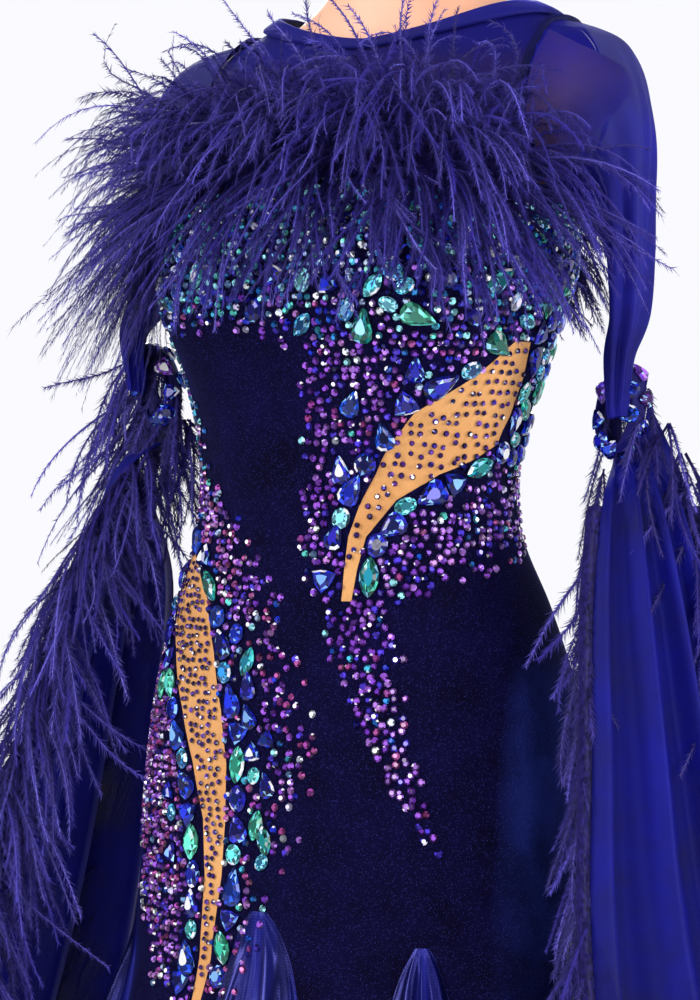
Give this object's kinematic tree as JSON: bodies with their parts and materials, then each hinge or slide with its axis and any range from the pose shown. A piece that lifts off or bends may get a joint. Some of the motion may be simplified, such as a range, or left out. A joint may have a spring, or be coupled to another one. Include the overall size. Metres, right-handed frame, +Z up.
{
  "type": "ballroom gown on a dress form",
  "caption": "Floor-length ballroom gown with flame-shaped mesh inserts, feather collar, empty sheer sleeves, chiffon floats and satin godets, worn by a limbless dress form on a stand",
  "frame": {"origin": "middle of the underside of the stand, on the floor", "axes": "+Z up; the gown faces -Y; its left side is at +X"},
  "size_m": [0.9848, 0.9093, 1.55],
  "materials": {
    "velvet": "deep navy stretch velvet",
    "satin": "royal blue-violet satin",
    "insert": "fine tan stretch mesh",
    "mesh": "sheer navy power mesh",
    "chiffon": "sheer royal blue chiffon",
    "feather": "violet-blue ostrich feather",
    "jewel": "stiffened band covered with cut stones",
    "zip": "zip tape and teeth",
    "form": "smooth skin-tone dress form",
    "stand": "brushed grey stand"
  },
  "bodies": {
    "root": {"body_front": "velvet", "body_back_left": "velvet", "body_back_right": "velvet", "godet_1": "satin", "godet_2": "satin", "godet_3": "satin", "godet_4": "satin", "godet_5": "satin", "godet_6": "satin", "godet_7": "satin", "godet_8": "satin", "insert_hip": "insert", "insert_waist": "insert", "yoke_front": "mesh", "yoke_back": "mesh", "sleeve_left": "mesh", "sleeve_right": "mesh", "float_left": "chiffon", "float_right": "chiffon", "neck_binding": "chiffon", "collar_front": "feather", "collar_back": "feather", "plumes_left_front": "feather", "plumes_left_back": "feather", "plumes_right_front": "feather", "plumes_right_back": "feather", "band_left": "jewel", "band_right": "jewel", "back_zip": "zip", "form_torso": "form", "form_pole": "stand", "form_base": "stand"}
  },
  "joints": []
}
